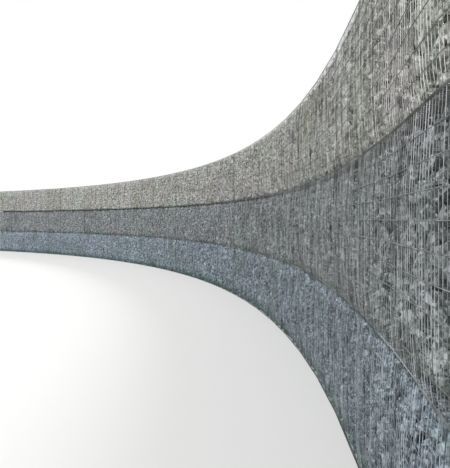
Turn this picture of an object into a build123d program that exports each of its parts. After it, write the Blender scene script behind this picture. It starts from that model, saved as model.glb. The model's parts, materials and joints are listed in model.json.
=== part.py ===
import math
import os

from build123d import *

# A curved gabion wall: three courses of stone-filled wire baskets, laid in six bays on an arc.
# Each basket has a front and a back mesh, a lid, and cross meshes that part it into cells.
# Millimetres. +Z is up, and -Y is the hollow side of the curve, which looks onto the path.
# The origin is at the middle of the plan, on the ground.

# What the wall is made of
course_names = ("bottom", "middle", "top")
bay_count = 6
cells_per_bay = 5

# Driving sizes
cell_length = 1000.0
course_height = 1000.0
wall_depth = 1000.0
face_radius = 25130.0

# The edge wires of each mesh panel, and the slit between two baskets laced end to end
frame_wire = 6.0
basket_gap = 4.0

# The play of a cross mesh between the front mesh and the back mesh, at each end
cross_seat = 0.3

# The stone presses the meshes out between the wires that hold them in
bulge = 28.0
bulge_run = 170.0

# Settled stone leaves a slack shoulder under each lid, deepest under the most weight
settle_drops = (40.0, 65.0, 18.0)
shoulder_depth = 110.0

# Plan geometry. The cells are flat facets whose front corners stand on the face circle.
cell_count = bay_count * cells_per_bay
cell_turn = 2 * math.asin(cell_length / 2 / face_radius)
facet_apothem = face_radius * math.cos(cell_turn / 2)
fill_front = frame_wire
fill_back = wall_depth - frame_wire
cutter_reach = 2 * bulge


def facet_point(cell, side, depth, margin=0.0):
    """A point about the circle's centre: at a depth behind a cell's front facet, on its left (-1)
    or right (+1) side, drawn in by a margin from the radial plane shared with the next cell."""
    bearing = math.pi / 2 + (cell_count / 2 - cell - 0.5) * cell_turn
    reach = facet_apothem + depth
    slide = side * (reach * math.tan(cell_turn / 2) - margin / math.cos(cell_turn / 2))
    out = Vector(math.cos(bearing), math.sin(bearing))
    along = Vector(math.sin(bearing), -math.cos(bearing))
    return out * reach + along * slide


def edge_margin(cell, side):
    """From a cell's radial plane to the inner edge of the upright wire at that side: a basket's
    own end wire where two bays meet, and half of the shared wire at a fold inside a bay."""
    at_bay_end = cell % cells_per_bay == (0 if side < 0 else cells_per_bay - 1)
    return basket_gap / 2 + frame_wire if at_bay_end else frame_wire / 2


def crest_point(cell, side, depth):
    """The foot of the bulge's flat crest, at one side of a cell."""
    return facet_point(cell, side, depth, edge_margin(cell, side) + bulge_run)


nearest_y = facet_point(0, -1, 0.0, basket_gap / 2).Y
farthest_y = max(crest_point(cell, side, fill_back + bulge).Y
                 for cell in range(cell_count) for side in (-1, 1))
plan_shift = Vector(0, (nearest_y + farthest_y) / 2)


def plan_point(cell, side, depth, margin=0.0):
    point = facet_point(cell, side, depth, margin) - plan_shift
    return (point.X, point.Y)


def upright(points, bottom, height):
    """A prism that stands on a closed outline in plan."""
    outline = Polygon(*points, align=None)
    return Pos(0, 0, bottom) * extrude(outline, height, dir=(0, 0, 1))


def bay_cells(bay):
    return list(range(bay * cells_per_bay, (bay + 1) * cells_per_bay))


def panel_span(course):
    """The bottom and the height of a course's upright panels, from the mesh under them to the
    course's own lid."""
    return course * course_height + frame_wire, course_height - frame_wire


# Stone fill: one block a cell, which bulges at the front and the back. It bears on the ground
# or on the stone below through the windows of the flat mesh between them.


def fill_outline(cell):
    """The block in plan, with a bulge on each face."""
    left, right = edge_margin(cell, -1), edge_margin(cell, 1)
    crest_left, crest_right = left + bulge_run, right + bulge_run
    return [
        plan_point(cell, -1, fill_front, left),
        plan_point(cell, -1, fill_front - bulge, crest_left),
        plan_point(cell, 1, fill_front - bulge, crest_right),
        plan_point(cell, 1, fill_front, right),
        plan_point(cell, 1, fill_back, right),
        plan_point(cell, 1, fill_back + bulge, crest_right),
        plan_point(cell, -1, fill_back + bulge, crest_left),
        plan_point(cell, -1, fill_back, left),
    ]


def fill_section(course):
    """The block from the side: the face rises past the edge wires, bulges, and falls back at the
    top to the slack shoulder under the lid."""
    bottom = course * course_height
    wires_top = bottom + 2 * frame_wire
    top = bottom + course_height
    brow = top - settle_drops[course]
    face = [
        (0.0, bottom),
        (0.0, wires_top),
        (-bulge, wires_top + bulge_run),
        (-bulge, brow - bulge_run),
        (0.0, brow),
        (shoulder_depth, top),
    ]
    front = [(fill_front + inward, z) for inward, z in face]
    back = [(fill_back - inward, z) for inward, z in face]
    return front + back[::-1]


def cell_plane(cell):
    """The upright plane through the middle of a cell: x runs into the wall, y runs up."""
    front = Vector(*plan_point(cell, -1, 0.0)) + Vector(*plan_point(cell, 1, 0.0))
    back = Vector(*plan_point(cell, -1, wall_depth)) + Vector(*plan_point(cell, 1, wall_depth))
    inward = (back - front).normalized()
    return Plane(origin=front / 2, x_dir=inward, z_dir=inward.cross(Vector(0, 0, 1)))


def stone_cell(cell, course):
    section = cell_plane(cell) * Polygon(*fill_section(course), align=None)
    run = extrude(section, cell_length, both=True)
    return run & upright(fill_outline(cell), course * course_height, course_height)


# Front and back meshes: one panel a basket, folded a little at each cell


def bay_band(cells, near, far, bottom, height):
    """A band that runs through the cells of one bay, mitred at each fold."""
    end = basket_gap / 2

    def edge(depth):
        folds = [plan_point(cell, 1, depth) for cell in cells[:-1]]
        return [plan_point(cells[0], -1, depth, end), *folds, plan_point(cells[-1], 1, depth, end)]

    return upright(edge(near) + edge(far)[::-1], bottom, height)


def window(cell, near, far, bottom, height):
    """A cutter between a cell's upright wires."""
    left, right = edge_margin(cell, -1), edge_margin(cell, 1)
    outline = [
        plan_point(cell, -1, near, left),
        plan_point(cell, 1, near, right),
        plan_point(cell, 1, far, right),
        plan_point(cell, -1, far, left),
    ]
    return upright(outline, bottom, height)


def face_panel(cells, near, course):
    bottom, height = panel_span(course)
    far = near + frame_wire
    panel = bay_band(cells, near, far, bottom, height)
    clear = height - 2 * frame_wire
    return panel - [
        window(cell, near - cutter_reach, far + cutter_reach, bottom + frame_wire, clear)
        for cell in cells
    ]


# Base mesh and lids: one flat panel a basket, with a wire across it at each fold


def deck_panel(cells, bottom):
    panel = bay_band(cells, 0.0, wall_depth, bottom, frame_wire)
    low = bottom - cutter_reach
    return panel - [
        window(cell, frame_wire, wall_depth - frame_wire, low, frame_wire + 2 * cutter_reach)
        for cell in cells
    ]


# Cross meshes: the panels between two cells, and one closing each end of the wall


def radial_line(cell, side, margin):
    """A line into the wall beside a cell's radial plane, as a function of the depth."""
    return lambda depth: plan_point(cell, side, depth, margin)


def radial_frame(sides, cutter_sides, course):
    """An upright frame between two radial lines, with one window cut through it."""
    bottom, height = panel_span(course)

    def ring(lines, inset):
        low, high = fill_front + cross_seat + inset, fill_back - cross_seat - inset
        return [lines[0](low), lines[1](low), lines[1](high), lines[0](high)]

    panel = upright(ring(sides, 0.0), bottom, height)
    clear = height - 2 * frame_wire
    return panel - upright(ring(cutter_sides, frame_wire), bottom + frame_wire, clear)


def inner_cross_mesh(cell, course):
    """The panel between a cell and the next one, centred on the radial plane that they share."""

    def lines(margin):
        return radial_line(cell, 1, margin), radial_line(cell + 1, -1, margin)

    return radial_frame(lines(frame_wire / 2), lines(cutter_reach), course)


def end_mesh(cell, side, course):
    """The panel that closes the wall at its left (-1) or right (+1) end."""
    outer = basket_gap / 2
    inner = outer + frame_wire
    sides = radial_line(cell, side, outer), radial_line(cell, side, inner)
    cuts = radial_line(cell, side, outer - cutter_reach), radial_line(cell, side, inner + cutter_reach)
    return radial_frame(sides, cuts, course)


def wall_nodes():
    """Each node's name and its solids."""
    courses = range(len(course_names))
    last_cell = cell_count - 1
    for course, name in enumerate(course_names):
        for bay in range(bay_count):
            yield f"{name}_stone_fill_{bay + 1}", [stone_cell(cell, course) for cell in bay_cells(bay)]
    for bay in range(bay_count):
        cells = bay_cells(bay)
        yield f"front_mesh_{bay + 1}", [face_panel(cells, 0.0, course) for course in courses]
        yield f"back_mesh_{bay + 1}", [face_panel(cells, fill_back, course) for course in courses]
    yield "base_mesh", [deck_panel(bay_cells(bay), 0.0) for bay in range(bay_count)]
    for course, name in enumerate(course_names):
        lid_bottom = (course + 1) * course_height
        yield f"{name}_lid_mesh", [deck_panel(bay_cells(bay), lid_bottom) for bay in range(bay_count)]
        yield f"{name}_cross_meshes", [inner_cross_mesh(cell, course) for cell in range(last_cell)]
    yield "left_end_mesh", [end_mesh(0, -1, course) for course in courses]
    yield "right_end_mesh", [end_mesh(last_cell, 1, course) for course in courses]


os.makedirs("parts", exist_ok=True)
for node, solids in wall_nodes():
    export_step(Compound(children=[piece.solid() for piece in solids]), f"parts/{node}.step")
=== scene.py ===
import json
import math
import random

import bmesh
import bpy
from mathutils import Matrix, Vector

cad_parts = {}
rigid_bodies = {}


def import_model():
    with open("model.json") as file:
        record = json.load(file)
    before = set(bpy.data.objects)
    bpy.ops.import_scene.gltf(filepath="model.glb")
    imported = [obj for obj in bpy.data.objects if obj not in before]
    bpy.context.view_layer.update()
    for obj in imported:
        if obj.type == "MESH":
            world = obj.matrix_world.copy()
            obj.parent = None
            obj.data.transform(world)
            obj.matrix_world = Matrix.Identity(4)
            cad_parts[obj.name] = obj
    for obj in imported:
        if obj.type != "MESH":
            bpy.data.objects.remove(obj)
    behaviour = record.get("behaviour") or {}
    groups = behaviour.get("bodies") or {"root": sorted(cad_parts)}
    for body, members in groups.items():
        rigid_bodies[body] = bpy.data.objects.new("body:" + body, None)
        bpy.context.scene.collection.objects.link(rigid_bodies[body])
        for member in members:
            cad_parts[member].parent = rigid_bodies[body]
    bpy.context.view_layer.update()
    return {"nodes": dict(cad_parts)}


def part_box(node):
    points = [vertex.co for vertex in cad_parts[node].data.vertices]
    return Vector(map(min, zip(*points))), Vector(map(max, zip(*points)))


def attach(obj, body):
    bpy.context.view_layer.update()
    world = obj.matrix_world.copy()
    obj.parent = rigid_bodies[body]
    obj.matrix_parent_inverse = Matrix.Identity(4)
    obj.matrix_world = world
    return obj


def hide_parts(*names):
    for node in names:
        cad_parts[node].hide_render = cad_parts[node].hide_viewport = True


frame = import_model()
print("frame loaded")

# the wall's sizes in metres, as the solids have them; a row of three goes from the bottom course up
wall = {
    "bays": 6,
    "cellsPerBay": 5,
    "cellLength": 1.0,
    "courseHeight": 1.0,
    "depth": 1.0,
    "faceRadius": 25.13,
    "bulges": (0.026, 0.018, 0.022),
    "swellPowers": (3.2, 0.8),  # how flat a bulge is over its middle, and how round at its rim
    "heldAtFolds": 0.80,  # share of the bulge that is left where a cross mesh ties the face back
    "wander": 0.004,  # how far the face strays in and out between one fold and the next
    "wanderWaves": (2.3, 0.71, 1.3),  # a short wave, a long one and its shift
    "settleDrops": (0.040, 0.065, 0.018),
    "shoulderDepth": 0.110,
}
courseNames = ("bottom", "middle", "top")
topCourse = len(courseNames) - 1
cellCount = wall["bays"] * wall["cellsPerBay"]
cellTurn = 2 * math.asin(wall["cellLength"] / 2 / wall["faceRadius"])
facetApothem = wall["faceRadius"] * math.cos(cellTurn / 2)
frontCorner = wall["faceRadius"] * math.cos(cellCount / 2 * cellTurn)
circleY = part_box("base_mesh")[0].y - frontCorner  # the circle's centre, from the front corners


def cellAxes(cell):
    # the way along a cell's front facet, and the way into the wall
    bearing = math.pi / 2 + (cellCount / 2 - cell - 0.5) * cellTurn
    return Vector((math.sin(bearing), -math.cos(bearing), 0)), Vector((math.cos(bearing), math.sin(bearing), 0))


def cellAt(run):
    return min(cellCount - 1, max(0, math.floor(run)))


def wallPoint(run, depth, height):
    # run counts cells from the left end, depth goes into the wall from the front facets
    cell = cellAt(run)
    along, inward = cellAxes(cell)
    reach = facetApothem + depth
    spot = inward * reach + along * ((2 * (run - cell) - 1) * reach * math.tan(cellTurn / 2))
    return spot.x, spot.y + circleY, height


def bayEnds(bay):
    return bay * wall["cellsPerBay"], (bay + 1) * wall["cellsPerBay"]


def courseFoot(course):
    return course * wall["courseHeight"]


def swell(t):
    # 0 where wires hold the face in, 1 over the middle
    flatness, roundness = wall["swellPowers"]
    return (1 - abs(2 * min(1.0, max(0.0, t)) - 1) ** flatness) ** roundness


def ease(t):
    t = min(1.0, max(0.0, t))
    return t * t * (3 - 2 * t)


def pushOut(course, run, rise):
    # how far the stone presses a face out, by the place along the wall and up the course
    cell = cellAt(run)
    left = 0.0 if cell == 0 else wall["heldAtFolds"]
    right = 0.0 if cell == cellCount - 1 else wall["heldAtFolds"]
    part = run - cell
    held = left + (right - left) * part
    short, long, shift = wall["wanderWaves"]
    stray = math.sin(short * run) * math.sin(long * run + shift) * min(1.0, run, cellCount - run)
    return (wall["bulges"][course] * (held + (1 - held) * swell(part)) + wall["wander"] * stray) * swell(rise)


def newObject(name, data):
    piece = bpy.data.objects.new(name, data)
    bpy.context.scene.collection.objects.link(piece)
    return piece


def makeObject(name, points, faces=(), edges=()):
    mesh = bpy.data.meshes.new(name)
    mesh.from_pydata(points, edges, faces)
    return newObject(name, mesh)


def countFaces(pieces):
    return sum(len(piece.data.polygons) for piece in pieces)


def nodeIn(tree, kind, inputs=None, **settings):
    # adds a node, sets it, gives its inputs a value or a link, and hands back its outputs
    node = tree.nodes.new(kind)
    for key, value in settings.items():
        setattr(node, key, value)
    for key, value in (inputs or {}).items():
        if isinstance(value, bpy.types.NodeSocket):
            tree.links.new(value, node.inputs[key])
        else:
            node.inputs[key].default_value = value
    return node.outputs


def sumOf(tree, operation, *values):
    return nodeIn(tree, "ShaderNodeMath", dict(enumerate(values)), operation=operation)[0]


def clampIn(tree, value, low, high):
    return nodeIn(tree, "ShaderNodeClamp", {"Value": value, "Min": low, "Max": high})[0]


def vectorIn(tree, operation, *values):
    results = nodeIn(tree, "ShaderNodeVectorMath", dict(enumerate(values)), operation=operation)
    return results["Value" if operation == "DOT_PRODUCT" else "Vector"]


def rangeIn(tree, value, start, stop, low=0.0, high=1.0):
    # low at start, high at stop, even between
    return nodeIn(tree, "ShaderNodeMapRange", {"Value": value, "From Min": start, "From Max": stop,
                                               "To Min": low, "To Max": high})[0]


def noiseIn(tree, place, pattern, own=None):
    # pattern gives scale, detail and roughness; own shifts the pattern for each block
    inputs = {"Vector": place, **dict(zip(("Scale", "Detail", "Roughness"), pattern))}
    if own is None:
        return nodeIn(tree, "ShaderNodeTexNoise", inputs)
    return nodeIn(tree, "ShaderNodeTexNoise", {"W": own, **inputs}, noise_dimensions="4D")


def colourRamp(tree, factor, stops, steps="LINEAR"):
    result = nodeIn(tree, "ShaderNodeValToRGB", {"Fac": factor})["Color"]
    ramp = result.node.color_ramp
    ramp.interpolation = steps
    while len(ramp.elements) < len(stops):
        ramp.elements.new(0.5)
    for element, (place, colour) in zip(ramp.elements, stops):
        element.position = place
        element.color = (*colour, 1.0)
    return result


def greys(stops):
    # for a ramp of shares
    return [(place, (share,) * 3) for place, share in stops]


def mixColours(tree, factor, first, second, blend="MIX"):
    # each of the two is a socket or a plain colour
    first, second = ((*colour, 1.0) if isinstance(colour, tuple) else colour for colour in (first, second))
    return nodeIn(tree, "ShaderNodeMix", {0: factor, 6: first, 7: second},
                  data_type="RGBA", blend_type=blend)[2]


def shaded(tree, colour, factor, stops, steps="LINEAR"):
    # multiplies a colour by a ramp
    return mixColours(tree, 1.0, colour, colourRamp(tree, factor, stops, steps), "MULTIPLY")


def tinted(colour, share):
    return tuple(min(1.0, share * part) for part in colour)


def within(tree, spot, ramps):
    # 1 where all the ramps are full, each one an axis, where it starts and where it is full
    share = 1.0
    for axis, start, full in ramps:
        share = sumOf(tree, "MULTIPLY", share, rangeIn(tree, spot[axis], start, full))
    return share


def newMaterial(name):
    material = bpy.data.materials.new(name)
    material.use_nodes = True
    return material, material.node_tree, material.node_tree.nodes["Principled BSDF"]


def finishShader(tree, shader, colour, grit, height, look):
    # grit runs from 0 to 1 between the look's two roughnesses
    tree.links.new(colour, shader.inputs["Base Color"])
    tree.links.new(rangeIn(tree, grit, 0.0, 1.0, *look["roughness"]), shader.inputs["Roughness"])
    bump = nodeIn(tree, "ShaderNodeBump",
                  {"Height": height, "Distance": look["bumpDepth"], "Strength": look["bumpStrength"]})
    tree.links.new(bump["Normal"], shader.inputs["Normal"])


# broken limestone: each block has its own tone, split into chipped faces, mottled and grained
stoneLook = {
    # the courses differ in tone as painted light and shade: the top paler, the middle darker, the bottom darker and
    # bluer
    "top": {
        "dark": (0.125, 0.127, 0.116), "mid": (0.315, 0.321, 0.300), "pale": (0.74, 0.745, 0.71),
        "stain": (0.32, 0.32, 0.21),
        # painted light and shade along the wall: from and to which place along X, and by how much
        "paintedLightAlongX": ((6.0, -5.0, 0.18), (-5.0, -14.0, 0.05), (8.0, 10.5, -0.30), (11.0, 14.0, 0.42)),
        # moss and painted shade over the joint: from and to which height it fades out, how thick it is before
        # mossAndShadeTurn, and past it
        "foot": (0.005, 0.055, 0.66, 0.25),
        # painted light: paler stretches under the lid, where light falls on the stone's top; the ramps that bound
        # each one, and by how much
        "paintedLitEdges": (((("Z", 2.925, 2.950), ("X", 3.0, 0.0)), 0.12),
                      ((("Z", 2.900, 2.950), ("X", 7.5, 9.5)), 0.16)),
    },
    "middle": {
        "dark": (0.050, 0.057, 0.059), "mid": (0.115, 0.131, 0.134), "pale": (0.48, 0.51, 0.53),
        "stain": (0.10, 0.120, 0.085),
        "paintedLightAlongX": ((7.0, -5.0, 0.16), (-5.0, -14.0, 0.05), (5.0, 11.0, -0.10), (12.0, 14.0, 0.16)),
        "foot": (0.050, 0.130, 0.35, 0.62),
        "paintedLitEdges": (),
    },
    "bottom": {
        "dark": (0.040, 0.054, 0.070), "mid": (0.098, 0.136, 0.172), "pale": (0.48, 0.555, 0.625),
        "stain": (0.085, 0.120, 0.100),
        "paintedLightAlongX": ((7.0, -5.0, 0.22), (-5.0, -14.0, 0.11), (7.5, 11.0, -0.07), (12.0, 14.0, 0.13)),
        "paintedLitEdges": (((("Z", 0.870, 0.900), ("Z", 0.965, 0.935), ("X", 4.5, 7.0)), 0.11),),
    },
    "levels": (0.10, 0.50, 0.78, 0.95),  # where dark, mid, pale and the palest lie
    "palest": 1.15,  # times pale
    "toneShare": 0.16,
    "paleBlocks": (0.80, 0.90, 0.20),  # from and to which tone a block turns pale, and by how much
    "ownShift": 37.0,  # times a block's tone, so that no pattern runs on from block to block
    "chipShare": 0.44,
    "chipScale": 36.0,
    "mottleShare": 0.95,
    "mottle": (62.0, 5.0, 0.65),  # scale, detail and roughness, as for streaks, grain and patches
    "streakShare": 0.26,
    "streaks": (9.0, 3.0, 0.6),
    "streakStretch": (1.0, 1.0, 0.15),  # rain has run straight down the faces
    "flakeScale": 85.0,
    "freshBreaks": ((0.70, 0.0), (0.86, 0.85)),  # by a flake's own number
    "freshTint": 1.1,  # times pale
    "pits": ((0.10, (0.55, 0.55, 0.56)), (0.30, (1.0, 1.0, 1.0))),
    "grain": (190.0, 3.0, 0.7),
    "speckle": ((0.32, (0.74, 0.74, 0.75)), (0.68, (1.0, 1.0, 0.99))),
    "patches": (1.1, 5.0, 0.6),
    "casts": ((0.40, (0.95, 1.0, 0.965)), (0.60, (1.0, 0.955, 1.0))),  # greenish and pinkish patches
    "lichen": ((0.60, 0.0), (0.80, 0.6)),
    "lichenOnChips": 0.16,  # how much more some chips have than others
    "mossAndShade": (0.080, 0.110, 0.070),
    "mossAndShadeTurn": (12.2, 13.2),  # along X
    "mossAndShadeWave": 2.3,  # how far its edge strays, times the height where it ends
    "damp": ((0.0, (0.36, 0.50, 0.46)), (0.13, (1.0, 1.0, 1.0))),  # by the height over the ground
    "dampWave": -0.12,
    "roughness": (0.72, 0.96),
    "bumpDepth": 0.008,
    "bumpStrength": 0.9,
    "chipRelief": -0.9,  # beside the mottling's 1
    "grainRelief": 0.25,
}


# how much moss and painted shade lies over a joint
def mossAndShadeShare(tree, look, joint, spot, patches):
    start, stop, thickness, thicknessPast = look["foot"]
    amount = rangeIn(tree, spot["X"], *look["mossAndShadeTurn"], thickness, thicknessPast)
    wave = stop * look["mossAndShadeWave"]
    overJoint = sumOf(tree, "MULTIPLY_ADD", patches["Fac"], -wave, spot["Z"])
    overJoint = sumOf(tree, "SUBTRACT", overJoint, joint - wave / 2)
    return rangeIn(tree, overJoint, start, stop, amount, 0.0)


def stoneMaterial(course):
    look = {**stoneLook, **stoneLook[course]}  # what all courses share, and what this one has
    material, tree, shader = newMaterial(course + "Limestone")
    place = nodeIn(tree, "ShaderNodeTexCoord")["Object"]
    spot = nodeIn(tree, "ShaderNodeSeparateXYZ", {0: place})
    tone = nodeIn(tree, "ShaderNodeAttribute", attribute_name="tone")["Fac"]
    own = sumOf(tree, "MULTIPLY", tone, look["ownShift"])
    chips = nodeIn(tree, "ShaderNodeTexVoronoi", {"Vector": place, "W": own, "Scale": look["chipScale"]},
                   voronoi_dimensions="4D")
    chip = nodeIn(tree, "ShaderNodeSeparateColor", {"Color": chips["Color"]})
    flakes = nodeIn(tree, "ShaderNodeTexVoronoi", {"Vector": place, "Scale": look["flakeScale"]})
    flake = nodeIn(tree, "ShaderNodeSeparateColor", {"Color": flakes["Color"]})
    mottle = noiseIn(tree, place, look["mottle"], own)["Fac"]
    drawnOut = vectorIn(tree, "MULTIPLY", place, look["streakStretch"])
    streaks = noiseIn(tree, drawnOut, look["streaks"])["Fac"]
    grain = noiseIn(tree, place, look["grain"])["Fac"]
    patches = noiseIn(tree, place, look["patches"])
    hue = nodeIn(tree, "ShaderNodeSeparateColor", {"Color": patches["Color"]})["Blue"]

    # how pale a spot is, from its own block, and from light and shade painted by its place in the wall
    parts = ((tone, "toneShare"), (chip["Red"], "chipShare"), (mottle, "mottleShare"), (streaks, "streakShare"))
    level = 0.5 - sum(look[share] for part, share in parts) / 2
    for part, share in parts:
        level = sumOf(tree, "MULTIPLY_ADD", part, look[share], level)
    start, stop, amount = look["paleBlocks"]
    level = sumOf(tree, "ADD", level, rangeIn(tree, tone, start, stop, 0.0, amount))
    for start, stop, amount in look["paintedLightAlongX"]:
        level = sumOf(tree, "ADD", level, rangeIn(tree, spot["X"], start, stop, 0.0, amount))
    for ramps, amount in look["paintedLitEdges"]:
        level = sumOf(tree, "MULTIPLY_ADD", within(tree, spot, ramps), amount, level)
    tones = (look["dark"], look["mid"], look["pale"], tinted(look["pale"], look["palest"]))
    base = colourRamp(tree, level, list(zip(look["levels"], tones)))

    fresh = colourRamp(tree, flake["Red"], greys(look["freshBreaks"]))
    base = mixColours(tree, fresh, base, tinted(look["pale"], look["freshTint"]))
    base = shaded(tree, base, flake["Green"], look["pits"])
    # lichen in wide patches, then moss and painted shade over both joints, and damp over the ground
    spread = sumOf(tree, "MULTIPLY_ADD", chip["Green"], look["lichenOnChips"], patches["Fac"])
    base = mixColours(tree, colourRamp(tree, spread, greys(look["lichen"])), base, look["stain"])
    if "foot" in look:
        joint = courseFoot(courseNames.index(course))
        base = mixColours(tree, mossAndShadeShare(tree, look, joint, spot, patches), base, look["mossAndShade"])
    if course == "bottom":
        overGround = sumOf(tree, "MULTIPLY_ADD", mottle, look["dampWave"], spot["Z"])
        base = shaded(tree, base, overGround, look["damp"])
    base = shaded(tree, base, hue, look["casts"])
    base = shaded(tree, base, grain, look["speckle"])
    height = sumOf(tree, "MULTIPLY_ADD", chips["Distance"], look["chipRelief"], mottle)
    height = sumOf(tree, "MULTIPLY_ADD", grain, look["grainRelief"], height)
    finishShader(tree, shader, base, grain, height, look)
    return material


# galvanised wire: dull zinc in paler and darker runs, darker with dirt and painted shade at the foot of each course
zincLook = {
    "meshWire": {"dark": (0.13, 0.132, 0.130), "mid": (0.49, 0.50, 0.495), "pale": (0.90, 0.90, 0.90),
                 "metallic": 0.40, "stretch": (1.0, 1.0, 0.18)},
    "levelWire": {"dark": (0.16, 0.16, 0.15), "mid": (0.30, 0.302, 0.29), "pale": (0.50, 0.50, 0.48),
                  "metallic": 0.20, "stretch": (1.0, 1.0, 1.0)},
    # edge wires, lacing and inner meshes: darker than the fine wires, partly aged zinc, partly painted shade of the
    # joints between courses
    "edgeWire": {"dark": (0.050, 0.054, 0.050), "mid": (0.145, 0.152, 0.145), "pale": (0.56, 0.57, 0.56),
                 "metallic": 0.0, "stretch": (0.12, 0.12, 0.5)},
    "levels": (0.38, 0.50, 0.62),  # where dark, mid and pale lie
    "runs": (13.0, 5.0, 0.7),  # scale, detail and roughness
    "grimeAndShade": (0.070, 0.085, 0.065),
    # dirt at the ground, and dirt with painted shade just over each joint
    "grimeAndShadeLevels": ((0.0, 0.8), (0.12, 0.0), (0.995, 0.0), (1.0, 0.3), (1.08, 0.0),
                    (1.998, 0.0), (2.004, 0.45), (2.025, 0.5), (2.060, 0.0)),  # height, share
    # painted shade: the lower courses' wires darker and bluer, like their stone
    "courseShades": ((0.0, (0.64, 0.71, 0.75)), (1.0, (0.72, 0.745, 0.75)), (2.0, (1.0, 1.0, 0.97))),  # height, tint
    "paintedRimLightRim": (0.36, 0.365, 0.35),  # painted light: the top lid's edge wires paler, where light catches the rim
    "paintedRimLight": ((0.990, 0.0), (0.994, 1.0)),  # share of the wall's height, share
    "paintedUndersideShade": ((0.64, (1.0, 1.0, 1.0)), (0.67, (0.52, 0.52, 0.51))),  # likewise: painted shade on the top course's level wires, darker as seen from below on their shaded side
    "paintedGlint": (0.50, 0.52, 0.54),
    "paintedGlintPlace": (("X", 12.88, 13.05), ("X", 13.75, 13.60),  # a painted glint on a stretch of the middle course's foot wire
                   ("Z", 1.0055, 1.0065), ("Z", 1.0135, 1.0125)),
    "roughness": (0.46, 0.76),
    "bumpDepth": 0.0006,
    "bumpStrength": 0.5,
}


def zincMaterial(name):
    look = {**zincLook, **zincLook[name]}
    material, tree, shader = newMaterial(name)
    place = nodeIn(tree, "ShaderNodeTexCoord")["Object"]
    spot = nodeIn(tree, "ShaderNodeSeparateXYZ", {0: place})
    runs = noiseIn(tree, vectorIn(tree, "MULTIPLY", place, look["stretch"]), look["runs"])["Fac"]
    tint = colourRamp(tree, runs, list(zip(look["levels"], (look["dark"], look["mid"], look["pale"]))))
    span = wall["courseHeight"] * len(courseNames)
    share = sumOf(tree, "DIVIDE", spot["Z"], span)
    grimyAndShaded = colourRamp(tree, share, greys((level / span, part) for level, part in look["grimeAndShadeLevels"]))
    tint = mixColours(tree, grimyAndShaded, tint, look["grimeAndShade"])
    # painted shade by course
    courseShade = [(level / span, colour) for level, colour in look["courseShades"]]
    tint = shaded(tree, tint, share, courseShade, "CONSTANT")
    if name == "edgeWire":
        # painted light on the top rim's edge wires
        tint = mixColours(tree, colourRamp(tree, share, greys(look["paintedRimLight"])), tint, look["paintedRimLightRim"])
        # a painted glint
        tint = mixColours(tree, within(tree, spot, look["paintedGlintPlace"]), tint, look["paintedGlint"])
    if name == "levelWire":
        # painted shade on the top course's level wires
        tint = shaded(tree, tint, share, look["paintedUndersideShade"])
    shader.inputs["Metallic"].default_value = look["metallic"]
    finishShader(tree, shader, tint, runs, runs, look)
    return material


limestone = {name: stoneMaterial(name) for name in courseNames}
zincs = {"Fine": zincMaterial("meshWire"), "Level": zincMaterial("levelWire"), "Edge": zincMaterial("edgeWire")}
print("materials made")

# a few angular blocks of broken stone
rockShapes = {
    "variants": 16,
    "corners": (9, 11),
    "squareness": 4,  # 2 puts the corners on a ball, more nearer to a box
    "reach": (0.84, 1.0),
    "width": 0.82,
    "thickness": 0.66,
    "seed": 11,
}


def makeRocks():
    rocks = bpy.data.collections.new("rocks")
    chance = random.Random(rockShapes["seed"])
    power = rockShapes["squareness"]
    for index in range(rockShapes["variants"]):
        shell = bmesh.new()
        for corner in range(chance.randint(*rockShapes["corners"])):
            way = Vector([chance.gauss(0, 1) for axis in range(3)]).normalized()
            squareness = sum(abs(part) ** power for part in way) ** (1 / power)
            point = way / squareness * chance.uniform(*rockShapes["reach"])
            point.y *= rockShapes["width"]
            point.z *= rockShapes["thickness"]
            shell.verts.new(point)
        hull = bmesh.ops.convex_hull(shell, input=shell.verts)
        bmesh.ops.delete(shell, geom=hull["geom_interior"], context="VERTS")
        bmesh.ops.recalc_face_normals(shell, faces=shell.faces)
        mesh = bpy.data.meshes.new("rock")
        shell.to_mesh(mesh)
        shell.free()
        rocks.objects.link(bpy.data.objects.new("rock%02d" % index, mesh))
    return rocks


rocks = makeRocks()


def newTree(name, labels):
    tree = bpy.data.node_groups.new(name, "GeometryNodeTree")
    tree.interface.new_socket("Geometry", in_out="INPUT", socket_type="NodeSocketGeometry")
    for label, kind in labels:
        tree.interface.new_socket(label, in_out="INPUT", socket_type="NodeSocket" + kind)
    tree.interface.new_socket("Geometry", in_out="OUTPUT", socket_type="NodeSocketGeometry")
    return tree, tree.nodes.new("NodeGroupInput").outputs, tree.nodes.new("NodeGroupOutput").inputs


def scaled(tree, vector, factor):
    return nodeIn(tree, "ShaderNodeVectorMath", {0: vector, "Scale": factor}, operation="SCALE")[0]


def combined(tree, x, y, z):
    return nodeIn(tree, "ShaderNodeCombineXYZ", {"X": x, "Y": y, "Z": z})[0]


def step(tree, geometry, kind, **inputs):
    # puts one more geometry node behind the last
    return nodeIn(tree, "GeometryNode" + kind, {"Geometry": geometry, **inputs})[0]


def randomIn(tree, least, most, seed, kind="FLOAT"):
    first, result = (0, 0) if kind == "FLOAT_VECTOR" else (2, 1)
    inputs = {first: least, first + 1: most, "Seed": seed}
    return nodeIn(tree, "FunctionNodeRandomValue", inputs, data_type=kind)[result]


def readAttribute(tree, name, kind="FLOAT"):
    return nodeIn(tree, "GeometryNodeInputNamedAttribute", {"Name": name}, data_type=kind)[0]


def isOver(tree, name, level):
    return nodeIn(tree, "FunctionNodeCompare", {0: readAttribute(tree, name), 1: level},
                  operation="GREATER_THAN")[0]


def storeAttribute(tree, geometry, name, value, kind="FLOAT", domain="POINT"):
    return nodeIn(tree, "GeometryNodeStoreNamedAttribute", {"Geometry": geometry, "Name": name, "Value": value},
                  data_type=kind, domain=domain)[0]


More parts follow.
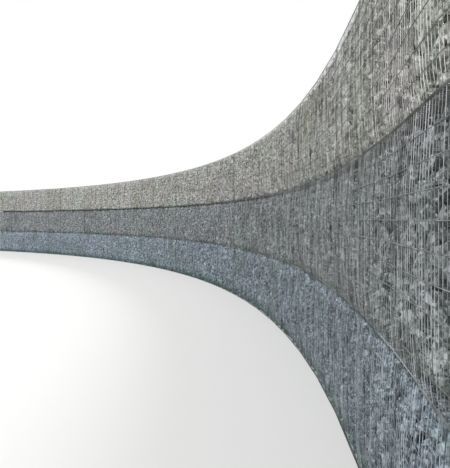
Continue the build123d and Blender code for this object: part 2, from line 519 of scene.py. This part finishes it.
def scatterBlocks(tree, given, skin):
    # sinks blocks into the skin, each turned its own way and with its own size and tone
    scatter = nodeIn(tree, "GeometryNodeDistributePointsOnFaces",
                     {"Mesh": skin, "Distance Min": given["Spacing"], "Density Max": given["Density"],
                      "Density Factor": readAttribute(tree, "packing"), "Seed": given["Seed"]},
                     distribute_method="POISSON")
    points = storeAttribute(tree, scatter["Points"], "facing", scatter["Normal"], "FLOAT_VECTOR")
    here = nodeIn(tree, "GeometryNodeInputPosition")[0]
    points = storeAttribute(tree, points, "seat", here, "FLOAT_VECTOR")
    size = randomIn(tree, given["Smallest"], given["Largest"], given["Seed"])
    sunk = sumOf(tree, "MULTIPLY", size, given["Sink"])
    down = scaled(tree, readAttribute(tree, "facing", "FLOAT_VECTOR"), sunk)
    points = step(tree, points, "SetPosition", Offset=down)
    lowTilt = sumOf(tree, "MULTIPLY", given["Tilt"], -1.0)
    least = combined(tree, lowTilt, lowTilt, -math.pi)
    most = combined(tree, given["Tilt"], given["Tilt"], math.pi)
    twist = randomIn(tree, least, most, given["Seed"], "FLOAT_VECTOR")
    turn = nodeIn(tree, "FunctionNodeEulerToRotation", {0: twist})[0]
    lean = nodeIn(tree, "FunctionNodeRotateRotation", {0: scatter["Rotation"], 1: turn},
                  rotation_space="LOCAL")[0]
    kinds = nodeIn(tree, "GeometryNodeCollectionInfo",
                   {"Collection": given["Rocks"], "Separate Children": True, "Reset Children": True})[0]
    blocks = nodeIn(tree, "GeometryNodeInstanceOnPoints",
                    {"Points": points, "Instance": kinds, "Pick Instance": True,
                     "Rotation": lean, "Scale": size})[0]
    tone = randomIn(tree, 0.0, 1.0, given["Tone Seed"])
    return step(tree, storeAttribute(tree, blocks, "tone", tone, domain="INSTANCE"), "RealizeInstances")


def holdBlocks(tree, given, blocks):
    # flat against the mesh
    here = nodeIn(tree, "GeometryNodeInputPosition")[0]
    facing = readAttribute(tree, "facing", "FLOAT_VECTOR")
    fromSeat = vectorIn(tree, "SUBTRACT", here, readAttribute(tree, "seat", "FLOAT_VECTOR"))
    proud = vectorIn(tree, "DOT_PRODUCT", fromSeat, facing)
    back = sumOf(tree, "MINIMUM", sumOf(tree, "MULTIPLY", proud, -1.0), 0.0)
    blocks = step(tree, blocks, "SetPosition", Offset=scaled(tree, facing, back))
    # between the cell's two cross meshes, which spread apart with the depth, and inside the face meshes
    along = readAttribute(tree, "cellAlong", "FLOAT_VECTOR")
    inward = vectorIn(tree, "CROSS_PRODUCT", (0.0, 0.0, 1.0), along)
    fromMiddle = vectorIn(tree, "SUBTRACT", here, readAttribute(tree, "cellMiddle", "FLOAT_VECTOR"))
    place = vectorIn(tree, "DOT_PRODUCT", fromMiddle, along)
    depth = vectorIn(tree, "DOT_PRODUCT", fromMiddle, inward)
    widening = sumOf(tree, "MULTIPLY", depth, given["Spread"])
    lowest = sumOf(tree, "SUBTRACT", readAttribute(tree, "alongLow"), widening)
    highest = sumOf(tree, "ADD", readAttribute(tree, "alongHigh"), widening)
    kept = clampIn(tree, place, lowest, highest)
    slide = scaled(tree, along, sumOf(tree, "SUBTRACT", kept, place))
    held = clampIn(tree, depth, readAttribute(tree, "depthLow"), readAttribute(tree, "depthHigh"))
    push = scaled(tree, inward, sumOf(tree, "SUBTRACT", held, depth))
    blocks = step(tree, blocks, "SetPosition", Offset=vectorIn(tree, "ADD", slide, push))
    # over the mesh below and under the lid, with ragged edges where the fill has settled
    xyz = nodeIn(tree, "ShaderNodeSeparateXYZ", {0: here})
    swing = sumOf(tree, "SUBTRACT", readAttribute(tree, "tone"), 0.5)
    ground = sumOf(tree, "MULTIPLY_ADD", swing, readAttribute(tree, "raggedFoot"), readAttribute(tree, "ground"))
    ceiling = sumOf(tree, "MULTIPLY_ADD", swing, readAttribute(tree, "raggedTop"), readAttribute(tree, "ceiling"))
    flat = combined(tree, xyz["X"], xyz["Y"], clampIn(tree, xyz["Z"], ground, ceiling))
    return step(tree, blocks, "SetPosition", Position=flat)


# what each face of a skin tells the packing tree
skinFacts = ("packing", "isCore", "ground", "ceiling", "raggedFoot", "raggedTop",
             "alongLow", "alongHigh", "depthLow", "depthHigh")


def stonePackingTree():
    # packs blocks against a skin, each in its own cell, and joins the core behind them
    tree, given, result = newTree("packStones", (
        ("Spacing", "Float"), ("Density", "Float"), ("Seed", "Int"), ("Smallest", "Float"), ("Largest", "Float"),
        ("Sink", "Float"), ("Tilt", "Float"), ("Spread", "Float"), ("Core Tone", "Float"), ("Tone Seed", "Int"),
        ("Rocks", "Collection"), ("Stone", "Material"),
    ))
    parts = nodeIn(tree, "GeometryNodeSeparateGeometry",
                   {"Geometry": given["Geometry"], "Selection": isOver(tree, "isCore", 0.5)}, domain="FACE")
    # the core takes a pale tone: painted light in the gaps between the blocks
    core = storeAttribute(tree, parts[0], "tone", given["Core Tone"])
    blocks = holdBlocks(tree, given, scatterBlocks(tree, given, parts[1]))
    whole = nodeIn(tree, "GeometryNodeJoinGeometry")[0]
    for geometry in (core, blocks):
        tree.links.new(geometry, whole.node.inputs[0])
    for name in ("facing", "seat", *skinFacts, "cellAlong", "cellMiddle"):
        whole = step(tree, whole, "RemoveAttribute", Name=name)
    whole = step(tree, whole, "RealizeInstances")
    whole = step(tree, whole, "SetMaterial", Material=given["Stone"])
    tree.links.new(whole, result["Geometry"])
    return tree


def runTree(source, tree, values, name):
    # sets the named inputs, evaluates once, and keeps the result as a plain mesh
    modifier = source.modifiers.new("shape", "NODES")
    modifier.node_group = tree
    names = {item.name: item.identifier for item in tree.interface.items_tree
             if item.item_type == "SOCKET" and item.in_out == "INPUT"}
    for key, value in values.items():
        modifier[names[key]] = value
    depsgraph = bpy.context.evaluated_depsgraph_get()
    mesh = bpy.data.meshes.new_from_object(source.evaluated_get(depsgraph), depsgraph=depsgraph)
    mesh.name = name
    if "kind" in mesh.attributes:  # it has chosen the wires' materials
        mesh.attributes.remove(mesh.attributes["kind"])
    spare = source.data
    source.modifiers.remove(modifier)
    bpy.data.objects.remove(source)
    bpy.data.meshes.remove(spare)
    piece = newObject(name, mesh)
    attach(piece, "root")
    return piece


# the stone in one bay of one course: a skin to pack blocks against, and a core behind them
fill = {
    "spacing": 0.064,
    "density": 1800.0,  # places tried on each square metre
    "smallest": 0.041,
    "largest": 0.066,
    "sink": -0.52,  # of the block's own size
    "tilt": 0.42,
    "slack": (0.012, 0.044, 0.008),  # bare height under each lid
    "foot": (0.001, 0.010, 0.007),  # bare height over the mesh below
    "footNear": (0.001, 0.042, 0.007),  # and at the right end, where the middle course has slumped
    "footRuns": (24.0, 29.0),
    "ragged": 0.026,  # how far the edge strays beside a bare height
    "raggedFrom": {"foot": 0.02, "top": 0.01},  # beside less it is straight
    "slopePacking": (1.0, 0.3, 1.0),  # how much of the shoulder under each lid shows blocks
    "skinDepth": 0.008,
    "lipDepth": 0.02,  # from the skin to where the shoulder starts to slope
    "leastStrip": 0.004,
    "anyDepth": (-1.0, 2.0),  # where the face mesh alone holds the blocks
    "coreInset": 0.032,
    "coreHollow": (0.0, 0.05, 0.0),  # cut off the core behind the bare heights
    "coreGap": 0.001,  # to the plane between two cores
    # a pale tone for the core: painted light that lifts the gaps between the blocks
    "coreTone": 0.90,
    "cornerClear": 0.014,
    "foldClear": 0.004,
    "foldMargin": 1e-6,  # keeps a strip's last point on its own facet
    "endClear": 0.009,
    "lidClear": 0.008,
    "stepsAlong": 6,
    "stepsUp": 6,
    "seed": 3,
    "toneSeed": 5,
}


def footHeight(course, run):
    start, stop = fill["footRuns"]
    foot, footNear = fill["foot"][course], fill["footNear"][course]
    return foot + (footNear - foot) * ease((run - start) / (stop - start))


def raggedness(bare, edge):
    return fill["ragged"] if bare > fill["raggedFrom"][edge] else 0.0


class Skin:
    # gathers quads, and for each one the facts that the packing tree reads
    def __init__(self):
        self.points, self.faces = [], []
        self.facts = {name: [] for name in skinFacts}
        self.middles, self.alongs = [], []

    def add(self, corners, cell, **facts):
        first = len(self.points)
        self.points.extend(corners)
        self.faces.append(tuple(range(first, first + len(corners))))
        for name, values in self.facts.items():
            values.append(facts.get(name, 0.0))
        along, inward = cellAxes(cell)
        self.middles.extend(inward * facetApothem + Vector((0, circleY, 0)))
        self.alongs.extend(along)

    def finish(self):
        piece = makeObject("skin", self.points, self.faces)
        for key, values in self.facts.items():
            piece.data.attributes.new(key, "FLOAT", "FACE").data.foreach_set("value", values)
        piece.data.attributes.new("cellMiddle", "FLOAT_VECTOR", "FACE").data.foreach_set("vector", self.middles)
        piece.data.attributes.new("cellAlong", "FLOAT_VECTOR", "FACE").data.foreach_set("vector", self.alongs)
        return piece


def skinRows(course, cell):
    # up the front of one course: depth, height, part of the bulge; then the two edges of the shoulder
    low = courseFoot(course)
    high = low + wall["courseHeight"]
    brow = high - wall["settleDrops"][course]
    top = max(brow, high - fill["slack"][course])
    skin = fill["skinDepth"]
    start = low + max(fill["cornerClear"], footHeight(course, cell + 0.5))
    steps = fill["stepsUp"]
    levels = [start + (brow - start) * i / steps for i in range(steps + 1)]
    rows = [(skin, level, (level - low) / (brow - low)) for level in levels]
    if top - brow > fill["leastStrip"]:
        rows.append((skin, top, None))
    return rows, (skin + fill["lipDepth"], top), (skin + wall["shoulderDepth"], high - fill["lidClear"])


def faceSpot(course, run, depth, height, rise, isBack):
    out = 0.0 if rise is None else pushOut(course, run, rise)
    inside = depth - out
    return wallPoint(run, wall["depth"] - inside if isBack else inside, height)


def cellSpan(cell):
    clear = fill["cornerClear"]
    return cell + (clear if cell == 0 else 0.0), cell + 1 - (clear if cell == cellCount - 1 else 0.0)


def addStrip(skin, course, cell, lower, upper, isBack, facts):
    # a strip of quads across one cell, between two levels given as depth, height, part of the bulge
    steps = fill["stepsAlong"]
    start, stop = cellSpan(cell)
    runs = [start + (stop - start) * i / steps for i in range(steps)] + [stop - fill["foldMargin"]]
    for here, there in zip(runs, runs[1:]):
        quad = [faceSpot(course, here, *lower, isBack), faceSpot(course, there, *lower, isBack),
                faceSpot(course, there, *upper, isBack), faceSpot(course, here, *upper, isBack)]
        skin.add(quad[::-1] if isBack else quad, cell, **facts)


def sideClear(fold):
    # from the plane between two cells to the first stone beside it
    return fill["foldClear"] if fold % wall["cellsPerBay"] else fill["endClear"]


def addCellSkin(skin, course, cell):
    low = courseFoot(course)
    high = low + wall["courseHeight"]
    foot, bare = footHeight(course, cell + 0.5), fill["slack"][course]
    facts = {
        "packing": 1.0,
        "ground": low + foot,
        "raggedFoot": raggedness(foot, "foot"),
        "alongLow": -wall["cellLength"] / 2 + sideClear(cell),
        "alongHigh": wall["cellLength"] / 2 - sideClear(cell + 1),
        "depthLow": fill["anyDepth"][0],
        "depthHigh": fill["anyDepth"][1],
    }
    wallFacts = dict(facts, ceiling=high - bare, raggedTop=raggedness(bare, "top"))
    lidFacts = dict(facts, ceiling=high - fill["lidClear"])
    slopeFacts = dict(lidFacts, packing=fill["slopePacking"][course])
    rows, lip, inner = skinRows(course, cell)
    for isBack in (False, True):
        for lower, upper in zip(rows, rows[1:]):
            addStrip(skin, course, cell, lower, upper, isBack, wallFacts)
        addStrip(skin, course, cell, (*lip, None), (*inner, None), isBack, slopeFacts)
    if course == topCourse:
        start, stop = cellSpan(cell)
        stop -= 0.0 if cell == cellCount - 1 else fill["foldMargin"]
        middle, (edge, height) = wall["depth"] / 2, inner
        for near, far in ((edge, middle), (middle, wall["depth"] - edge)):
            corners = ((start, near), (stop, near), (stop, far), (start, far))
            skin.add([wallPoint(run, depth, height) for run, depth in corners], cell, **lidFacts)


def addEndSkin(skin, course, isRight):
    # the closed end of the wall, where the stone lies against the end mesh
    cell = cellCount - 1 if isRight else 0
    run = cellCount - fill["skinDepth"] if isRight else fill["skinDepth"]
    low = courseFoot(course)
    foot, bare = footHeight(course, run), fill["slack"][course]
    near = fill["skinDepth"] + fill["cornerClear"]
    far = wall["depth"] - near
    start = low + max(fill["cornerClear"], foot)
    top = low + wall["courseHeight"] - bare
    corners = ((near, start), (far, start), (far, top), (near, top))
    quad = [wallPoint(run, depth, height) for depth, height in corners]
    side = wall["cellLength"] / 2 - fill["endClear"]
    skin.add(quad if isRight else quad[::-1], cell, packing=1.0, ground=low + foot, ceiling=top,
             raggedTop=raggedness(bare, "top"), alongLow=-side, alongHigh=side,
             depthLow=fill["endClear"], depthHigh=wall["depth"] - fill["endClear"])


def addCore(skin, course, bay):
    # a closed block behind the outer stones
    first, last = bayEnds(bay)
    gap, inset, hollow = fill["coreGap"], fill["coreInset"], fill["coreHollow"][course]
    low = courseFoot(course) + gap
    high = low + wall["courseHeight"] - 2 * gap
    brow = high - wall["settleDrops"][course] - inset / 2
    top = high - inset if course == topCourse else high
    near = fill["skinDepth"] + inset
    inner = near + wall["shoulderDepth"]
    ring = [(near + hollow, low), (near, low + hollow), (near, brow - hollow), (near + hollow, brow),
            (inner + hollow, top)]
    ring += [(wall["depth"] - depth, height) for depth, height in ring[::-1]]
    runs = list(range(first, last + 1))
    runs[0] += inset if bay == 0 else gap
    runs[-1] -= inset if bay == wall["bays"] - 1 else gap
    rows = [[wallPoint(run, depth, height) for depth, height in ring] for run in runs]
    for here, there in zip(rows, rows[1:]):
        for i in range(len(ring)):
            j = (i + 1) % len(ring)
            skin.add([there[i], there[j], here[j], here[i]], first, isCore=1.0)
    skin.add(rows[0], first, isCore=1.0)
    skin.add(rows[-1][::-1], first, isCore=1.0)


def layStones(tree):
    pieces = []
    values = {"Spread": math.tan(cellTurn / 2), "Core Tone": fill["coreTone"],
              "Tone Seed": fill["toneSeed"], "Rocks": rocks}
    for key in ("spacing", "density", "smallest", "largest", "sink", "tilt"):
        values[key.capitalize()] = fill[key]
    for course, name in enumerate(courseNames):
        for bay in range(wall["bays"]):
            skin = Skin()
            for cell in range(*bayEnds(bay)):
                addCellSkin(skin, course, cell)
            if bay in (0, wall["bays"] - 1):
                addEndSkin(skin, course, bay > 0)
            addCore(skin, course, bay)
            values.update({"Seed": fill["seed"] + 10 * course + bay, "Stone": limestone[name]})
            piece = runTree(skin.finish(), tree, values, "%sStone%d" % (name, bay + 1))
            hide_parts("%s_stone_fill_%d" % (name, bay + 1))
            pieces.append(piece)
    return pieces


stonePieces = layStones(stonePackingTree())
print("stones laid:", countFaces(stonePieces), "faces")


def wireTree(isWound):
    # sweeps round wire along given lines, or first winds each line into a coil
    labels = [("Sides", "Int"), *((kind, "Material") for kind in zincs)]
    if isWound:
        labels += [("Pitch", "Float"), ("Coil Radius", "Float"), ("Step", "Float")]
    tree, given, result = newTree("windLacing" if isWound else "drawWires", labels)
    line = nodeIn(tree, "GeometryNodeMeshToCurve", {"Mesh": given["Geometry"]})[0]
    if isWound:
        line = nodeIn(tree, "GeometryNodeResampleCurve", {"Curve": line, "Length": given["Step"]},
                      mode="LENGTH")[0]
        length = nodeIn(tree, "GeometryNodeSplineParameter")["Length"]
        angle = sumOf(tree, "MULTIPLY", sumOf(tree, "DIVIDE", length, given["Pitch"]), 2 * math.pi)
        tangent = nodeIn(tree, "GeometryNodeInputTangent")[0]
        normal = nodeIn(tree, "GeometryNodeInputNormal")[0]
        swing = nodeIn(tree, "ShaderNodeVectorRotate", {"Vector": normal, "Axis": tangent, "Angle": angle},
                       rotation_type="AXIS_ANGLE")[0]
        line = step(tree, line, "SetPosition", Offset=scaled(tree, swing, given["Coil Radius"]))
    profile = nodeIn(tree, "GeometryNodeCurvePrimitiveCircle", {"Resolution": given["Sides"], "Radius": 1.0})
    wire = nodeIn(tree, "GeometryNodeCurveToMesh",
                  {"Curve": line, "Profile Curve": profile[0], "Scale": readAttribute(tree, "thickness"),
                   "Fill Caps": True})[0]
    wire = step(tree, wire, "SetShadeSmooth")
    wire = step(tree, wire, "RemoveAttribute", Name="thickness")
    wire = step(tree, wire, "RealizeInstances")
    for index, kind in enumerate(zincs):
        wire = step(tree, wire, "SetMaterial", Selection=isOver(tree, "kind", index - 0.5), Material=given[kind])
    tree.links.new(wire, result["Geometry"])
    return tree


def linesObject(groups):
    # groups of lines, each with its wire's radius and its kind
    points, edges, thickness, kinds = [], [], [], []
    for lines, radius, kind in groups:
        for line in lines:
            first = len(points)
            points.extend(line)
            edges.extend((first + i, first + i + 1) for i in range(len(line) - 1))
            thickness.extend([radius] * len(line))
            kinds.extend([float(list(zincs).index(kind))] * len(line))
    piece = makeObject("lines", points, (), edges)
    piece.data.attributes.new("thickness", "FLOAT", "POINT").data.foreach_set("value", thickness)
    piece.data.attributes.new("kind", "FLOAT", "POINT").data.foreach_set("value", kinds)
    return piece


# welded mesh panels: thick edge wires, fine uprights, and level wires welded on outside them
wires = {
    "edgeRadius": 0.0022,
    "uprightRadius": 0.0015,
    "levelRadius": 0.0019,
    "sides": 4,
    "uprightPitch": 0.040,
    "levelPitch": 0.100,
    "edgeDepth": 0.003,
    "footLift": 0.0088,  # from the joint below up to a panel's foot wire
    "topDrop": 0.0012,  # and from the joint above down to its top wire
    "lidLift": 0.0037,
    "basketEnd": 0.005,  # from the plane between two baskets to an end wire
    "endInset": 0.0095,
    "bulgeLevels": (0.07, 0.25, 0.75, 0.93),
    "bulgePlaces": (0.0, 0.15, 0.5, 0.85),
}
levelLift = wires["uprightRadius"] + wires["levelRadius"]
drawWires = wireTree(False)
coursePanels = [(course, courseFoot(course) + wires["footLift"],
                 courseFoot(course + 1) - wires["topDrop"]) for course in range(len(courseNames))]


def facePoint(run, height, course, isBack, lift=0.0):
    low = courseFoot(course)
    span = wall["courseHeight"] - wall["settleDrops"][course]
    return faceSpot(course, run, wires["edgeDepth"] - lift, height, (height - low) / span, isBack)


def edgePoint(run, height, isBack):
    depth = wires["edgeDepth"]
    return wallPoint(run, wall["depth"] - depth if isBack else depth, height)


def bayRuns(bay, places=(0.0,)):
    # places along a bay, from one basket end wire to the other
    first, last = bayEnds(bay)
    runs = [cell + place for cell in range(first, last) for place in places] + [last]
    return [min(max(run, first + wires["basketEnd"]), last - wires["basketEnd"]) for run in runs]


def faceUpright(run, course, low, high, isBack):
    span = wall["courseHeight"] - wall["settleDrops"][course]
    levels = [courseFoot(course) + span * level for level in wires["bulgeLevels"]]
    middle = [facePoint(run, height, course, isBack) for height in levels]
    return [edgePoint(run, low, isBack), *middle, edgePoint(run, high, isBack)]


def finePlaces():
    # along one bay, between the folds
    perCell = round(wall["cellLength"] / wires["uprightPitch"])
    return [i / perCell for i in range(1, perCell * wall["cellsPerBay"]) if i % perCell]


def levelPlaces(length):
    return [level * wires["levelPitch"] for level in range(1, round(length / wires["levelPitch"]))]


def faceMesh(bay, isBack):
    first = bayEnds(bay)[0]
    edges, uprights, levels = [], [], []
    for course, low, high in coursePanels:
        edges += [[edgePoint(run, height, isBack) for run in bayRuns(bay)] for height in (low, high)]
        folds = [faceUpright(run, course, low, high, isBack) for run in bayRuns(bay)]
        levels += [folds[0], folds[-1]]
        uprights += folds[1:-1] + [faceUpright(first + place, course, low, high, isBack) for place in finePlaces()]
        for height in levelPlaces(wall["courseHeight"]):
            levels.append([facePoint(run, courseFoot(course) + height, course, isBack, levelLift)
                           for run in bayRuns(bay, wires["bulgePlaces"])])
    return edges, uprights, levels


def lidMesh(height):
    # every bay's lid: a frame with a wire over each fold, and the fine mesh
    edges, across, along = [], [], []
    near, far = wires["edgeDepth"], wall["depth"] - wires["edgeDepth"]
    for bay in range(wall["bays"]):
        first, runs = bayEnds(bay)[0], bayRuns(bay)
        edges += [[wallPoint(run, depth, height) for run in runs] for depth in (near, far)]
        edges += [[wallPoint(run, depth, height) for depth in (near, far)] for run in runs]
        across += [[wallPoint(first + place, depth, height) for depth in (near, far)] for place in finePlaces()]
        along += [[wallPoint(run, depth, height - levelLift) for run in runs]
                  for depth in levelPlaces(wall["depth"])]
    return edges, across, along


def endMesh(isRight):
    run = cellCount - wires["basketEnd"] if isRight else wires["basketEnd"]
    lift = levelLift if isRight else -levelLift
    near, far = wires["endInset"], wall["depth"] - wires["endInset"]
    edges, uprights, levels = [], [], []
    for course, low, high in coursePanels:
        edges += [[wallPoint(run, depth, height) for depth in (near, far)] for height in (low, high)]
        edges += [[wallPoint(run, depth, height) for height in (low, high)] for depth in (near, far)]
        uprights += [[wallPoint(run, i * wires["uprightPitch"], height) for height in (low, high)]
                     for i in range(1, round(wall["depth"] / wires["uprightPitch"]))]
        levels += [[wallPoint(run + lift, depth, courseFoot(course) + height) for depth in (near, far)]
                   for height in levelPlaces(wall["courseHeight"])]
    return edges, uprights, levels


def drawPanel(lines, name, node):
    edges, fine, crossing = lines
    source = linesObject(((fine, wires["uprightRadius"], "Fine"), (crossing, wires["levelRadius"], "Level"),
                          (edges, wires["edgeRadius"], "Edge")))
    piece = runTree(source, drawWires, {"Sides": wires["sides"], **zincs}, name)
    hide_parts(node)
    return piece


panelPieces = []
for bay in range(wall["bays"]):
    for side in ("front", "back"):
        names = "%sMesh%d" % (side, bay + 1), "%s_mesh_%d" % (side, bay + 1)
        panelPieces.append(drawPanel(faceMesh(bay, side == "back"), *names))
for course, name in enumerate(courseNames):
    lidLevel = courseFoot(course + 1) + wires["lidLift"]
    panelPieces.append(drawPanel(lidMesh(lidLevel), name + "LidMesh", name + "_lid_mesh"))
for side in ("left", "right"):
    panelPieces.append(drawPanel(endMesh(side == "right"), side + "EndMesh", side + "_end_mesh"))
print("mesh panels drawn:", countFaces(panelPieces), "faces")

# lacing wire wound round the edge wires wherever two panels meet
lacing = {
    "pitch": 0.075,
    "stepsPerTurn": 5,
    "coilRadius": 0.0065,
    "wireRadius": 0.0014,
    "sides": 3,
    "rimLift": 0.001,  # the topmost seam's height over the courses
    "uprightEnds": 0.02,  # bare at the ends of an upright seam
}
windLacing = wireTree(True)


def wind(lines, name):
    values = {"Sides": lacing["sides"], "Pitch": lacing["pitch"], "Coil Radius": lacing["coilRadius"],
              "Step": lacing["pitch"] / lacing["stepsPerTurn"], **zincs}
    piece = runTree(linesObject(((lines, lacing["wireRadius"], "Edge"),)), windLacing, values, name)
    return piece


def levelSeams(isBack):
    lines = []
    for course in range(len(courseNames)):
        lift = lacing["rimLift"] if course == topCourse else wires["lidLift"]
        height = courseFoot(course + 1) + lift
        lines += [[edgePoint(run, height, isBack) for run in bayRuns(bay)] for bay in range(wall["bays"])]
    return lines


def uprightSeams(isBack):
    lines = []
    ends = lacing["uprightEnds"]
    for bay in range(wall["bays"] + 1):
        run = min(max(bayEnds(bay)[0], wires["basketEnd"]), cellCount - wires["basketEnd"])
        lines += [faceUpright(run, course, low + ends, high - ends, isBack) for course, low, high in coursePanels]
    return lines


lacingPieces = [
    wind(levelSeams(False), "frontLacing"),
    wind(levelSeams(True), "backLacing"),
    wind(uprightSeams(False) + uprightSeams(True), "uprightLacing"),
]
print("lacing wound:", countFaces(lacingPieces), "faces")

# the inner meshes take the edge wires' dark zinc, with its painted shade
for name in ("base_mesh", "bottom_cross_meshes", "middle_cross_meshes", "top_cross_meshes"):
    materials = frame["nodes"][name].data.materials
    materials.clear()
    materials.append(zincs["Edge"])
print("inner meshes finished")

# the camera stands beside the right end at eye height and looks along the hollow face
view = {
    "centreFit": (-24.20, 5.31),  # the circle's centre from the camera, to the right and forwards
    "nearEnd": -3.89,  # along the face to its right end, from the point due right of that centre
    "eyeHeight": 1.604,
    "focalPixels": 532.0,
    "horizon": 219.2,
    "pictureHeight": 468,
    "clips": (0.05, 400),
}


def placeCamera():
    middle = (view["nearEnd"] + cellCount * cellTurn * wall["faceRadius"] / 2) / wall["faceRadius"]
    turn = math.pi / 2 - middle
    offset = Matrix.Rotation(turn, 2) @ Vector((-view["centreFit"][0], -view["centreFit"][1]))
    camera = newObject("camera", bpy.data.cameras.new("camera"))
    camera.location = (offset.x, offset.y + circleY, view["eyeHeight"])
    camera.rotation_euler = (math.pi / 2, 0, turn)
    camera.data.lens = camera.data.sensor_width * view["focalPixels"] / view["pictureHeight"]
    camera.data.shift_y = (view["horizon"] - view["pictureHeight"] / 2) / view["pictureHeight"]
    camera.data.clip_start, camera.data.clip_end = view["clips"]
    bpy.context.scene.camera = camera


placeCamera()

# pale floor and soft studio light: open sky, a broad lamp over the hollow side, a low one behind
studio = {
    "floorReach": 90,
    "floorSeen": (0.80, 0.80, 0.79),
    "floorBounce": (0.34, 0.34, 0.34),
    "floorRoughness": 0.9,
    "sky": 0.50,
    "key": {"energy": 2.6, "angle": 0.20, "travel": (-0.25, 0.74, -0.72)},
    "back": {"energy": 1.1, "angle": 0.30, "travel": (0.35, -0.75, -0.80)},
}


def seenRay(tree):
    # 1 for what the camera sees, also in a reflection or through glass
    path = nodeIn(tree, "ShaderNodeLightPath")
    direct = sumOf(tree, "MAXIMUM", path["Is Camera Ray"], path["Is Glossy Ray"])
    return sumOf(tree, "MAXIMUM", direct, path["Is Transmission Ray"])


def makeStudio():
    reach = studio["floorReach"]
    corners = [(-reach, -reach, 0), (reach, -reach, 0), (reach, reach, 0), (-reach, reach, 0)]
    floor = makeObject("floor", corners, [(0, 1, 2, 3)])
    material, tree, shader = newMaterial("paleFloor")
    colour = mixColours(tree, seenRay(tree), studio["floorBounce"], studio["floorSeen"])
    tree.links.new(colour, shader.inputs["Base Color"])
    shader.inputs["Roughness"].default_value = studio["floorRoughness"]
    floor.data.materials.append(material)

    world = bpy.data.worlds.new("studio")
    bpy.context.scene.world = world
    world.use_nodes = True
    tree = world.node_tree
    background = tree.nodes["Background"].inputs
    background["Color"].default_value = (1, 1, 1, 1)
    tree.links.new(rangeIn(tree, seenRay(tree), 0.0, 1.0, studio["sky"], 1.0), background["Strength"])

    for name in ("key", "back"):
        lamp = newObject(name + "Lamp", bpy.data.lights.new(name + "Lamp", "SUN"))
        lamp.data.energy = studio[name]["energy"]
        lamp.data.angle = studio[name]["angle"]
        lamp.rotation_euler = Vector(studio[name]["travel"]).to_track_quat("-Z", "Y").to_euler()


makeStudio()
bpy.context.scene.view_settings.view_transform = "Standard"

for spare in list(rocks.objects):
    bpy.data.objects.remove(spare)
bpy.data.collections.remove(rocks)
print("scene lit")
